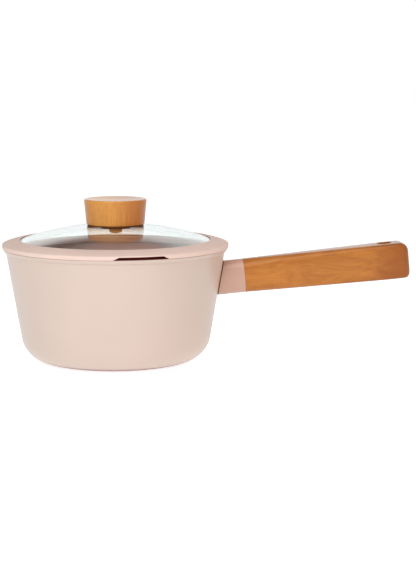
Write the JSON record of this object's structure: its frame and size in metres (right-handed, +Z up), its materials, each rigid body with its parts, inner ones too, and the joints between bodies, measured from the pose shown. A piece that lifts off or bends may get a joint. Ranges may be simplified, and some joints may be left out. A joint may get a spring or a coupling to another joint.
{
  "type": "saucepan with glass lid",
  "caption": "Small saucepan with tapered wall, flared rim, vented glass lid in a soft rim ring, wooden lid knob and straight wooden handle with a hanging hole.",
  "frame": {"origin": "centre of the base, on the surface the pan stands on", "axes": "+Z up along the pan's axis, +X towards the free end of the handle"},
  "size_m": [0.3571, 0.1968, 0.1408],
  "materials": {
    "pink_coat": "satin ceramic coat on cast aluminium, inside and outside",
    "plate_steel": "fine circular brushing",
    "gasket_brown": "matte",
    "screw_steel": "zinc plated",
    "beech": "oiled, satin",
    "lid_glass": "clear, polished",
    "seal_silicone": "matte silicone",
    "insert_brass": "turned",
    "grommet_brown": "matte silicone",
    "screw_brown": "bronze-coloured, semi-gloss"
  },
  "bodies": {
    "pan": {"pan_body": "pink_coat", "induction_plate": "plate_steel", "handle_gasket": "gasket_brown", "handle_ferrule": "pink_coat", "ferrule_screw": "screw_steel", "handle_grip": "beech", "grip_screws": "screw_steel"},
    "lid": {"glass_dome": "lid_glass", "rim_seal": "seal_silicone", "lid_knob": "beech", "knob_insert": "insert_brass", "knob_gasket": "gasket_brown", "glass_grommet": "grommet_brown", "knob_screw": "screw_brown"}
  },
  "joints": [
    {"name": "lid_lift", "type": "slide", "parent": "pan", "child": "lid", "axis": [0, 0, 1], "range_m": [0, 0.12]}
  ]
}
